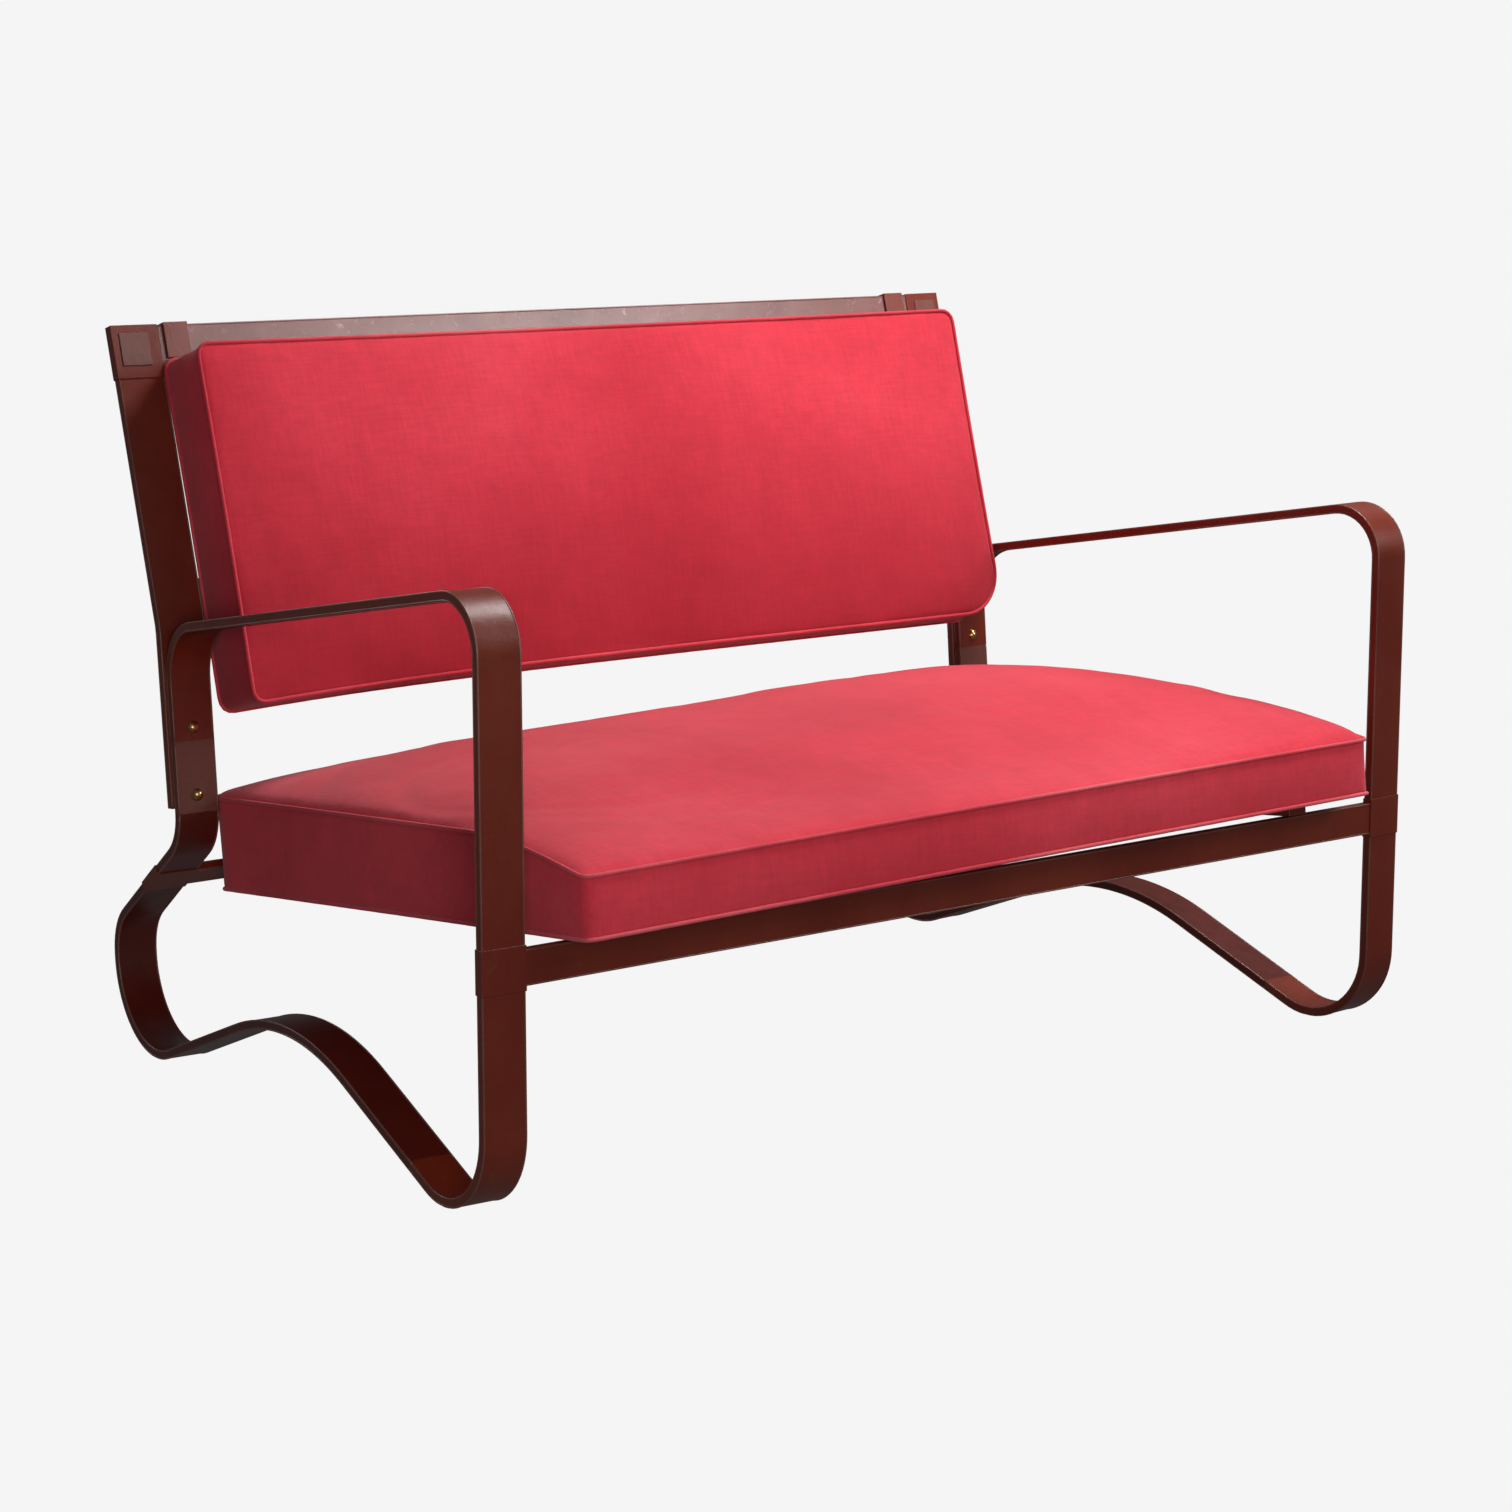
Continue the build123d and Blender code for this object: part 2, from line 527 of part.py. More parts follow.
def make_back_cushion():
    outer, inner = back_body(0), back_body(COVER_T)
    parts["back_cushion_cover"] = one(outer - inner)
    slab = back_box(0, FAR, -FAR, BACK_AIR + COVER_T + BOARD_T, -FAR, FAR)
    parts["back_cushion_board"] = one(inner & slab)
    parts["back_cushion_filling"] = one(inner - slab)
    p = PIPE_W
    u0, u1 = BACK_CUSHION_DROP - p, BACK_CUSHION_DROP + BACK_CUSHION_H + p
    f1 = BACK_AIR + BACK_CUSHION_T
    for name, a, b in (("rear", BACK_AIR, BACK_AIR + PIPE_H), ("front", f1 - PIPE_H, f1)):
        s = back_box(u0, u1, a, b, -BACK_HALF_W - p, BACK_HALF_W + p)
        es = [e for e in s.edges() if abs(abs((e % 0.5).dot(Vector(0, UP[1], -UP[0]))) - 1) < 0.01]
        parts["back_piping_" + name] = one(s.fillet(CORNER_R + p, es) - outer)
    # strap: up the front of the top rail from the cushion, over it and down behind
    a, t = SOFT_AIR, STRAP_T
    x0, x1 = -STRAP_X - STRAP_W / 2, -STRAP_X + STRAP_W / 2
    strap = back_box(-a - t, BACK_CUSHION_DROP - p, a, a + t, x0, x1)
    strap = strap + back_box(-a - t, -a, -BAR_T - a - t, a + t, x0, x1)
    strap = strap + back_box(-a - t, STRAP_TAIL, -BAR_T - a - t, -BAR_T - a, x0, x1)
    parts_side(strap, "back_strap")


make_loops(make_rails())
make_collars()
make_bearers()
make_back_frame()
make_bolts()
make_seat_cushion()
make_back_cushion()

# origin: middle of the footprint of the whole settee, on the floor
box = Compound([s for p in parts.values() for s in p.solids()]).bounding_box()
home = Pos(-(box.min.X + box.max.X) / 2, -(box.min.Y + box.max.Y) / 2, -box.min.Z)
for name, shape in parts.items():
    export_step(home * shape, "parts/" + name + ".step")
print(len(parts), "parts, box", box.size, "moved by", home.position)
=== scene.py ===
import bmesh
import bpy
import math
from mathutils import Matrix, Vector, noise


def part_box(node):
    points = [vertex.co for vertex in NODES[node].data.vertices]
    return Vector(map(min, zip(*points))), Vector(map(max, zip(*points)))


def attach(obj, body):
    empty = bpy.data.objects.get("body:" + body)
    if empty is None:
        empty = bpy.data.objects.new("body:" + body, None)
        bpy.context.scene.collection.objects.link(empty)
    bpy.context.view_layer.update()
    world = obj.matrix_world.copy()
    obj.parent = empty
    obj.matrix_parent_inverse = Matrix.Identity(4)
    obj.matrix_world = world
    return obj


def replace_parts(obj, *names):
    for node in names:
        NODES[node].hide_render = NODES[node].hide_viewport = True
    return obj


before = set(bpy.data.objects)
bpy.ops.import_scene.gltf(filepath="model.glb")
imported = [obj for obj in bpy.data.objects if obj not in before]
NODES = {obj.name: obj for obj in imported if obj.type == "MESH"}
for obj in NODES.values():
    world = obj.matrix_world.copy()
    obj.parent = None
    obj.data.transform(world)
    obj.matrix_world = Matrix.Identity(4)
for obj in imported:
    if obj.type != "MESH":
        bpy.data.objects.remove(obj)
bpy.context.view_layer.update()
SIDES = ("left", "right")

# ------------------------------------------------------------------ sizes, in metres
BACK_LEAN = math.radians(15.8)   # the back frame from vertical
CAD_WELD = 0.00002               # vertices of the CAD mesh closer than this are one

WELT_R = 0.0011                  # rolled edge of the leather
WELT_IN = 0.0007                 # middle of a welt, in from the edge of the bar
WELT_STEP = 0.008                # spacing of a welt's rings
WELT_SHORTEST = 0.055            # edges shorter than this get no welt
WELT_TURN = math.radians(35)     # a welt ends where its edge turns more than this

GRID = 0.010                     # spacing of a cushion's cloth before it is smoothed
BOXING_ROWS = 7                  # rows of cloth in the boxing, from seam to seam
CLOTH_FRAMES = 20                # length of the cloth simulation
CLOTH_PRESSURE = 4.0
SEAM_CREASE = 0.6                # sharpness of a seam when the cloth is smoothed

PIPE_R = 0.0022                  # piping of the cushions
PIPE_STEP = 0.0065               # spacing of the piping's rings
PIPE_GATHER = 0.07               # how much the piping's radius varies

# corner radii of the seat's and the back's seams: front or lower left, front or lower right,
# rear or upper left, rear or upper right
SEAT_TOP_RADII = (0.007, 0.007, 0.016, 0.016)
SEAT_LOW_RADII = (0.008, 0.008, 0.018, 0.018)
BACK_FRONT_RADII = (0.012, 0.058, 0.012, 0.014)
BACK_REAR_RADII = (0.014, 0.010, 0.014, 0.014)

SEAT_LENGTH = 0.716
SEAT_ROLL = 0.210                # the seat thickens from its front edge to here
SEAT_FRONT_H, SEAT_MID_H, SEAT_REAR_H = 0.0600, 0.0930, 0.1010
SEAT_CROWN, SEAT_FULL = 0.063, 0.57
SEAT_BULGE = 0.0035              # how far the seat's boxing swells
SEAT_LEAN = 0.26                 # how much fuller the seat's right end is than its middle
SEAT_TWIST = 0.0075              # front right corner up and front left corner down
SEAT_SQUEEZE = 0.002             # cloth pressed against the loops at each side
SEAT_PULL = 0.002                # how far the middle of each edge is drawn in
# arcs pressed in by sitters: centre x, centre y behind the front edge, radius, width, depth
SEAT_CREASES = [(-0.36, 0.30, 0.16, 0.010, 0.0016), (-0.30, 0.36, 0.27, 0.012, 0.0012),
                (0.30, 0.34, 0.20, 0.014, 0.0009)]

BACK_SAG = 0.009                 # lower left corner of the back cushion
BACK_CROWN, BACK_FULL = 0.018, 0.85
BACK_BULGE = 0.003
BACK_PULL = 0.0015


# ------------------------------------------------------------------ materials
def material(name, base, rough=0.5, metallic=0.0):
    """A new node material; returns it with its tree and its shader."""
    m = bpy.data.materials.new(name)
    m.use_nodes = True
    t = m.node_tree
    bsdf = t.nodes["Principled BSDF"]
    bsdf.inputs["Base Color"].default_value = (*base, 1)
    bsdf.inputs["Roughness"].default_value = rough
    bsdf.inputs["Metallic"].default_value = metallic
    return m, t, bsdf


def noise_node(t, scale, detail=3.0, rough=0.55, stretch=(1, 1, 1), distort=0.0):
    """Noise on the piece's own coordinates; returns its value socket."""
    mp = t.nodes.new("ShaderNodeMapping")
    mp.inputs["Scale"].default_value = stretch
    n = t.nodes.new("ShaderNodeTexNoise")
    n.inputs["Scale"].default_value = scale
    n.inputs["Detail"].default_value = detail
    n.inputs["Roughness"].default_value = rough
    n.inputs["Distortion"].default_value = distort
    t.links.new(object_coordinates(t), mp.inputs["Vector"])
    t.links.new(mp.outputs["Vector"], n.inputs["Vector"])
    return n.outputs["Fac"]


def ramp(t, value, stops):
    """Colours along a value; stops is a list of (position, colour)."""
    r = t.nodes.new("ShaderNodeValToRGB")
    el = r.color_ramp.elements
    while len(el) < len(stops):
        el.new(0.5)
    for e, (p, c) in zip(el, stops):
        e.position = p
        e.color = (*c, 1)
    t.links.new(value, r.inputs["Fac"])
    return r.outputs["Color"]


def mix(t, fac, a, b, mode="MIX"):
    """Mix two colours; each input is a number, a colour or a socket."""
    n = t.nodes.new("ShaderNodeMix")
    n.data_type = "RGBA"
    n.blend_type = mode
    for key, v in ((0, fac), (6, a), (7, b)):
        if isinstance(v, (int, float)):
            n.inputs[key].default_value = v
        elif isinstance(v, tuple):
            n.inputs[key].default_value = (*v, 1)
        else:
            t.links.new(v, n.inputs[key])
    return n.outputs[2]


def maths(t, op, a, b=None, c=None, clamp=False):
    """One math node; each input is a number or a socket."""
    n = t.nodes.new("ShaderNodeMath")
    n.operation = op
    n.use_clamp = clamp
    for i, v in enumerate((a, b, c)):
        if isinstance(v, (int, float)):
            n.inputs[i].default_value = v
        elif v is not None:
            t.links.new(v, n.inputs[i])
    return n.outputs[0]


def bump(t, bsdf, layers):
    """Stack bump layers, each (height socket, strength, distance)."""
    last = None
    for height, strength, distance in layers:
        b = t.nodes.new("ShaderNodeBump")
        b.inputs["Strength"].default_value = strength
        b.inputs["Distance"].default_value = distance
        t.links.new(height, b.inputs["Height"])
        if last:
            t.links.new(last, b.inputs["Normal"])
        last = b.outputs["Normal"]
    t.links.new(last, bsdf.inputs["Normal"])


def object_coordinates(t):
    return t.nodes.new("ShaderNodeTexCoord").outputs["Object"]


def object_axes(t):
    """The piece's own x, y and z as three sockets."""
    split = t.nodes.new("ShaderNodeSeparateXYZ")
    t.links.new(object_coordinates(t), split.inputs[0])
    return split.outputs


def grey(low, high, low_at=0.25, high_at=0.75):
    """Stops of a ramp from one grey to another."""
    return [(low_at, (low,) * 3), (high_at, (high,) * 3)]


def leather(name, dark, light, rough, wear_and_highlight=(0.30, 0.13, 0.10), wear_and_highlight_amount=0.25, coat=0.12):
    """Waxed leather: broad tones, rubbed patches, pores and wrinkles; a pale patch colour paints
    a highlight as well as wear.
    """
    m, t, bsdf = material(name, dark, rough)
    broad = noise_node(t, 7.0, 4.0, 0.6, (1, 1, 0.45))
    tone = ramp(t, broad, [(0.30, dark), (0.72, light)])
    # rubbed patches in the wear colour; where that colour is pale they are partly a painted
    # highlight
    scuff_and_highlight = ramp(t, noise_node(t, 55.0, 6.0, 0.75, distort=1.2), grey(0, 1, 0.62, 0.80))
    tone = mix(t, maths(t, "MULTIPLY", scuff_and_highlight, wear_and_highlight_amount), tone, wear_and_highlight)
    speck = ramp(t, noise_node(t, 900.0, 2.0), grey(0.72, 1.18))
    tone = mix(t, 0.5, tone, speck, "MULTIPLY")
    t.links.new(tone, bsdf.inputs["Base Color"])
    r = maths(t, "MULTIPLY_ADD", noise_node(t, 40.0, 5.0, 0.7), 0.22, rough - 0.11)
    t.links.new(r, bsdf.inputs["Roughness"])
    bsdf.inputs["Coat Weight"].default_value = coat
    bsdf.inputs["Coat Roughness"].default_value = 0.28
    pores = t.nodes.new("ShaderNodeTexVoronoi")
    pores.inputs["Scale"].default_value = 850.0
    t.links.new(object_coordinates(t), pores.inputs["Vector"])
    wrinkle = noise_node(t, 130.0, 4.0, 0.6)
    wave = noise_node(t, 28.0, 2.0, 0.5)
    bump(t, bsdf, [(pores.outputs["Distance"], 0.35, 0.00022), (wrinkle, 0.30, 0.0006),
                   (wave, 0.25, 0.0016)])
    return m


def cloth(name, base, pale, deep, weave=0.28, painted_low_shade=None):
    """Tight matte canvas: a fine weave, soft fading and slubs.

    painted_low_shade is (low height, high height, tone low down): painted shade that darkens the
    cloth towards its bottom.
    """
    m, t, bsdf = material(name, base, 0.88)
    fade = ramp(t, noise_node(t, 2.6, 3.0, 0.5), [(0.30, deep), (0.52, base), (0.78, pale)])
    mottle = ramp(t, noise_node(t, 42.0, 5.0, 0.7), grey(0.86, 1.12))
    tone = mix(t, 0.55, fade, mottle, "MULTIPLY")
    # painted shade: the tone is multiplied down towards the bottom of the piece, standing in for
    # the shade on the back cushion's lower part
    if painted_low_shade:
        low, high, low_tone = painted_low_shade
        above = maths(t, "SUBTRACT", object_axes(t)[2], low)
        up = maths(t, "DIVIDE", above, high - low, clamp=True)
        tone = mix(t, 1.0, tone, ramp(t, up, [(0.0, low_tone), (1.0, (1, 1, 1))]), "MULTIPLY")
    slub = noise_node(t, 260.0, 3.0, 0.6, (0.12, 1, 1))
    slub2 = noise_node(t, 260.0, 3.0, 0.6, (1, 0.12, 0.12))
    threads = maths(t, "MULTIPLY", maths(t, "ADD", slub, slub2), 0.5)
    tone = mix(t, 0.6, tone, ramp(t, threads, grey(0.80, 1.14, 0.32, 0.68)), "MULTIPLY")
    t.links.new(tone, bsdf.inputs["Base Color"])
    bsdf.inputs["Specular IOR Level"].default_value = 0.22
    bsdf.inputs["Sheen Weight"].default_value = 0.22
    bsdf.inputs["Sheen Roughness"].default_value = 0.45
    bsdf.inputs["Sheen Tint"].default_value = (1.0, 0.72, 0.74, 1)
    bump(t, bsdf, [(weave_height(t), weave, 0.00018), (threads, 0.30, 0.00035),
                   (noise_node(t, 55.0, 4.0, 0.6), 0.18, 0.0012)])
    return m


def weave_height(t, pitch=0.0011):
    """Over-and-under height that reads as a plain weave on a face along any two axes."""
    waves = [maths(t, "SINE", maths(t, "MULTIPLY", axis, 2 * math.pi / pitch))
             for axis in object_axes(t)]
    xy = maths(t, "MULTIPLY", waves[0], waves[1])
    yz = maths(t, "MULTIPLY", waves[1], waves[2])
    zx = maths(t, "MULTIPLY", waves[2], waves[0])
    return maths(t, "ADD", maths(t, "ADD", xy, yz), zx)


def metal(name, base, rough, tarnish):
    m, t, bsdf = material(name, base, rough, 1.0)
    tone = ramp(t, noise_node(t, 160.0, 4.0, 0.7), [(0.35, base), (0.75, tarnish)])
    t.links.new(tone, bsdf.inputs["Base Color"])
    r = maths(t, "MULTIPLY_ADD", noise_node(t, 300.0, 4.0, 0.7), 0.25, rough - 0.12)
    t.links.new(r, bsdf.inputs["Roughness"])
    bump(t, bsdf, [(noise_node(t, 420.0, 3.0), 0.12, 0.0003)])
    return m


def wood(name):
    m, t, bsdf = material(name, (0.42, 0.27, 0.14), 0.6)
    grain_lines = noise_node(t, 18.0, 6.0, 0.7, (1, 14, 14), 0.6)
    tone = ramp(t, grain_lines, [(0.3, (0.30, 0.18, 0.09)), (0.7, (0.52, 0.35, 0.19))])
    t.links.new(tone, bsdf.inputs["Base Color"])
    bump(t, bsdf, [(grain_lines, 0.3, 0.0006)])
    return m


OXBLOOD = leather("leather_oxblood", (0.124, 0.0100, 0.0022), (0.176, 0.024, 0.0085), 0.36,
                  coat=0.10)
DARK_HIDE = leather("leather_dark", (0.060, 0.0034, 0.0008), (0.100, 0.0090, 0.0030), 0.37,
                    wear_and_highlight_amount=0.18, coat=0.10)
WORN_HIDE = leather("leather_worn", (0.112, 0.028, 0.019), (0.175, 0.056, 0.041), 0.42,
                    wear_and_highlight_amount=0.4)
# the top rail: pale pink patches over most of it and a paler light tone, partly wear and partly a
# painted highlight of the studio light reflected on the rail's front face
RAIL_HIDE = leather("leather_rail", (0.105, 0.022, 0.015), (0.200, 0.080, 0.068), 0.25,
                    wear_and_highlight=(0.60, 0.44, 0.42), wear_and_highlight_amount=0.85, coat=0.5)
WELT_HIDE = leather("leather_welt", (0.110, 0.026, 0.015), (0.230, 0.092, 0.068), 0.34,
                    wear_and_highlight_amount=0.6)
CRIMSON = cloth("canvas_crimson", (0.600, 0.030, 0.052), (0.690, 0.052, 0.080),
                (0.500, 0.018, 0.036))
# the back cushion's canvas carries painted shade, darker and redder towards its bottom
BACK_CANVAS = cloth("canvas_back", (0.610, 0.032, 0.055), (0.690, 0.054, 0.082),
                    (0.520, 0.020, 0.038), painted_low_shade=(0.42, 0.70, (0.66, 0.42, 0.52)))
PIPING = cloth("canvas_piping", (0.600, 0.048, 0.070), (0.760, 0.165, 0.175),
               (0.46, 0.020, 0.038), weave=0.2)
LINING = cloth("lining_cloth", (0.085, 0.070, 0.062), (0.12, 0.10, 0.09), (0.06, 0.05, 0.045))
BRASS = metal("brass", (0.70, 0.46, 0.19), 0.30, (0.26, 0.15, 0.07))
ZINC = metal("zinc_steel", (0.55, 0.56, 0.58), 0.34, (0.34, 0.34, 0.35))
STEEL = metal("bar_steel", (0.36, 0.36, 0.38), 0.45, (0.20, 0.16, 0.14))
PLY = wood("plywood")

# the look of a node by its name, then by a part of its name; all others are oxblood leather
LOOKS = {"back_bolts": BRASS, "bolt_washers": ZINC, "bolt_nuts": ZINC,
         "top_rail_leather": RAIL_HIDE, "seat_cushion_board": PLY, "back_cushion_board": PLY,
         "seat_cushion_filling": LINING, "back_cushion_filling": LINING}
PART_LOOKS = (("_core", STEEL), ("runner_leather", DARK_HIDE), ("rear_leg_leather", DARK_HIDE),
              ("rear_patch", WORN_HIDE), ("corner_panel", WORN_HIDE))


def look_of(node):
    if node in LOOKS:
        return LOOKS[node]
    for part, look in PART_LOOKS:
        if part in node:
            return look
    return OXBLOOD


def paint(piece, look):
    piece.data.materials.clear()
    piece.data.materials.append(look)


def soften(node, width):
    """Round the sharp edges of a CAD node with modifiers only."""
    o = NODES[node]
    weld = o.modifiers.new("weld", "WELD")
    weld.merge_threshold = CAD_WELD
    bevel = o.modifiers.new("edge", "BEVEL")
    bevel.width = width
    bevel.segments = 3
    bevel.limit_method = "ANGLE"
    bevel.angle_limit = math.radians(35)
    bevel.harden_normals = False
    bevel.use_clamp_overlap = True
    sharp = o.modifiers.new("normals", "WEIGHTED_NORMAL")
    sharp.keep_sharp = False


# how much the edges of a node are rounded, by the end of its name
SOFT_EDGES = ((("_collar", "_cap", "_panel"), 0.0005), (("_strap",), 0.0008),
              (("_leather", "_bearer"), 0.0012))


def dress_nodes():
    """Give every CAD node its look and its rounded edges."""
    for name, o in NODES.items():
        look = look_of(name)
        for s in o.material_slots:
            s.material = look
        for ends, width in SOFT_EDGES:
            if name.endswith(ends):
                soften(name, width)


# ------------------------------------------------------------------ mesh helpers
def new_piece(name, verts, faces, look, body):
    """A new smooth mesh object that rides on a body."""
    me = bpy.data.meshes.new(name)
    me.from_pydata([tuple(v) for v in verts], [], faces)
    me.validate()
    o = bpy.data.objects.new(name, me)
    bpy.context.scene.collection.objects.link(o)
    paint(o, look)
    me.shade_smooth()
    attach(o, body)
    return o


class Build:
    """Vertices and faces of one piece, gathered tube by tube."""

    def __init__(self):
        self.verts, self.faces = [], []

    def tube(self, pts, radius, closed=False, sides=8):
        """A round tube along pts; radius is one number or a list with one for each point."""
        n = len(pts)
        radii = radius if isinstance(radius, list) else [radius] * n
        tang = []
        for i in range(n):
            a = pts[i - 1] if closed or i else pts[i]
            b = pts[(i + 1) % n] if closed or i < n - 1 else pts[i]
            tang.append((b - a).normalized())
        up = Vector((0, 0, 1)) if abs(tang[0].z) < 0.9 else Vector((0, 1, 0))
        normal = (up - tang[0] * up.dot(tang[0])).normalized()
        start = len(self.verts)
        for i in range(n):
            normal = (normal - tang[i] * normal.dot(tang[i])).normalized()
            side = tang[i].cross(normal)
            for k in range(sides):
                a = 2 * math.pi * k / sides
                self.verts.append(pts[i] + (normal * math.cos(a) + side * math.sin(a)) * radii[i])
        for i in range(n if closed else n - 1):
            p, q = start + i * sides, start + ((i + 1) % n) * sides
            for k in range(sides):
                j = (k + 1) % sides
                self.faces.append((p + k, p + j, q + j, q + k))
        if not closed:
            self.faces.append(tuple(start + k for k in reversed(range(sides))))
            self.faces.append(tuple(start + (n - 1) * sides + k for k in range(sides)))

    def piece(self, name, look, body, slot):
        return new_piece(name, self.verts, self.faces, look, body)


def walk(pts, step, closed=False):
    """Even points along a polyline."""
    pts = list(pts) + ([pts[0]] if closed else [])
    lengths = [(b - a).length for a, b in zip(pts, pts[1:])]
    total = sum(lengths)
    n = max(2, int(round(total / step)))
    out, i, done = [], 0, 0.0
    for k in range(n if closed else n + 1):
        d = total * k / n
        while i < len(lengths) - 1 and done + lengths[i] < d:
            done += lengths[i]
            i += 1
        out.append(pts[i].lerp(pts[i + 1], (d - done) / lengths[i] if lengths[i] else 0))
    return out


def next_sharp(tip, before, sharp, used):
    """The unused sharp edge that carries on from before to tip, and the vertex at its far end."""
    for e in tip.link_edges:
        if e in sharp and e not in used:
            other = e.other_vert(tip)
            if (tip.co - before.co).angle(other.co - tip.co, 0) < WELT_TURN:
                return e, other
    return None


def convex_edges(node, shortest):
    """Long convex edges of a CAD node, each as its points and the outward normals there."""
    bm = bmesh.new()
    bm.from_mesh(NODES[node].data)
    bmesh.ops.remove_doubles(bm, verts=bm.verts, dist=CAD_WELD)
    sharp = {}
    for e in bm.edges:
        if len(e.link_faces) == 2 and e.is_convex:
            if math.radians(50) < e.calc_face_angle(0) < math.radians(130):
                sharp[e] = (e.link_faces[0].normal + e.link_faces[1].normal).normalized()
    used, lines = set(), []
    for e in sharp:
        if e in used:
            continue
        chain, normals = [e.verts[0], e.verts[1]], [sharp[e], sharp[e]]
        used.add(e)
        for forward in (True, False):
            while True:
                tip, before = (chain[-1], chain[-2]) if forward else (chain[0], chain[1])
                found = next_sharp(tip, before, sharp, used)
                if not found:
                    break
                edge, far = found
                used.add(edge)
                at = len(chain) if forward else 0
                chain.insert(at, far)
                normals.insert(at, sharp[edge])
                if chain[0] is chain[-1]:
                    break
        if sum((a.co - b.co).length for a, b in zip(chain, chain[1:])) > shortest:
            lines.append(([v.co.copy() for v in chain], [n.copy() for n in normals]))
    bm.free()
    return lines


def welts(bar):
    """Rolled leather edges along the long edges of a covered bar."""
    b = Build()
    for pts, normals in convex_edges(bar + "_leather", WELT_SHORTEST):
        line = [p - n * WELT_IN for p, n in zip(pts, normals)]
        b.tube(walk(line, WELT_STEP), WELT_R)
    if b.verts:
        b.piece(bar + "_welts", WELT_HIDE, "frame", "leather")


# ------------------------------------------------------------------ boxed cushions
def corner_map(x, y, half_w, half_l, radii):
    """Move a point of a rectangle so that each of its corners is round."""
    r = radii[(x > 0) + 2 * (y > 0)]
    cx, cy = half_w - r, half_l - r
    if abs(x) <= cx or abs(y) <= cy:
        return x, y
    a, b = (abs(x) - cx) / r, (abs(y) - cy) / r
    u, v = a * math.sqrt(1 - b * b / 2), b * math.sqrt(1 - a * a / 2)
    return math.copysign(cx + u * r, x), math.copysign(cy + v * r, y)


def grid_line(half, radii, step):
    """Grid stations across a side, closer together inside the round corners."""
    r = max(radii)
    inner = half - r
    n = max(2, int(round(2 * inner / step)))
    m = max(3, int(round(r / (step * 0.55))))
    mid = [-inner + 2 * inner * k / n for k in range(n + 1)]
    edge = [inner + r * k / m for k in range(1, m + 1)]
    return [-e for e in reversed(edge)] + mid + edge


